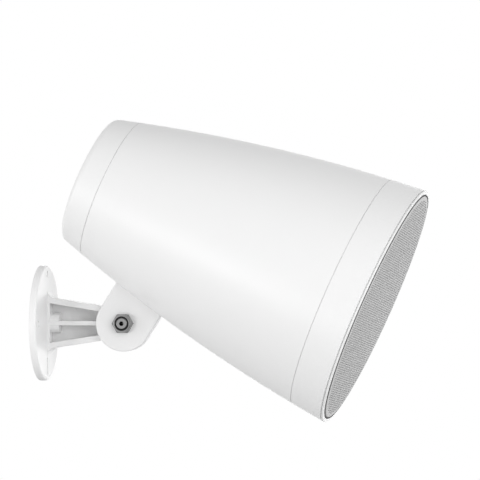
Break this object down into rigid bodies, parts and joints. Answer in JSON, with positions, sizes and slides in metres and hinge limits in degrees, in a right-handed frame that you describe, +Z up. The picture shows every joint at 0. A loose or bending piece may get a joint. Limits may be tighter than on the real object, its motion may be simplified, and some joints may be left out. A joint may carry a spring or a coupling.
{
  "type": "wall speaker",
  "caption": "Tapered white wall speaker with a perforated front grille, hung by a lug on a ribbed bracket with a round flange, so that it tilts.",
  "frame": {"origin": "middle of the wall flange's back face", "axes": "+X out of the wall, +Z up, so the hinge axis lies along Y"},
  "size_m": [0.2738, 0.176, 0.2114],
  "materials": {
    "white_moulding": "satin white moulding",
    "bright_steel": "zinc-plated steel",
    "black_nylon": "nylon",
    "grille_paint": "white powder coat on perforated sheet",
    "dark_cloth": "thin dust cloth",
    "black_rubber": "matte rubber",
    "screw_steel": "zinc-plated steel",
    "basket_paint": "black enamel",
    "plated_steel": "zinc-plated steel",
    "ferrite": "ground ferrite",
    "cone_paper": "pressed paper",
    "spider_cloth": "resin-stiffened cloth",
    "former_film": "brown film",
    "copper_wire": "enamelled copper wire",
    "lamination_steel": "stacked laminations",
    "coil_wrap": "copper winding under yellow tape",
    "terminal_plastic": "moulded block",
    "brass": "bright brass"
  },
  "bodies": {
    "bracket": {"wall_bracket": "white_moulding", "pivot_bolt": "bright_steel", "pivot_nut": "bright_steel", "nut_insert": "black_nylon"},
    "cabinet": {"cabinet_shell": "white_moulding", "front_ring": "white_moulding", "rear_cap": "white_moulding", "grille": "grille_paint", "grille_cloth": "dark_cloth", "rear_seal": "black_rubber", "cable_grommet": "black_rubber", "driver_gasket": "black_rubber", "surround": "black_rubber", "cap_screws": "screw_steel", "driver_screws": "screw_steel", "strap_screws": "screw_steel", "driver_basket": "basket_paint", "top_plate": "plated_steel", "back_plate": "plated_steel", "transformer_strap": "plated_steel", "magnet": "ferrite", "spider": "spider_cloth", "transformer_core": "lamination_steel", "transformer_coil": "coil_wrap", "terminal_block": "terminal_plastic", "terminal_screws": "brass"},
    "cone_assembly": {"cone": "cone_paper", "coil_former": "former_film", "voice_coil": "copper_wire", "whizzer": "cone_paper", "dust_cap": "cone_paper"}
  },
  "joints": [
    {"name": "tilt", "type": "hinge", "parent": "bracket", "child": "cabinet", "pos_m": [0.0605, 0, 0], "axis": [0, 1, 0], "range_deg": [-13, 60]},
    {"name": "cone_stroke", "type": "slide", "parent": "cabinet", "child": "cone_assembly", "axis": [0.9154, 0, -0.4026], "range_m": [-0.0025, 0.0025], "stiffness_N_per_m": 3500, "deforming": ["surround", "spider"]}
  ]
}
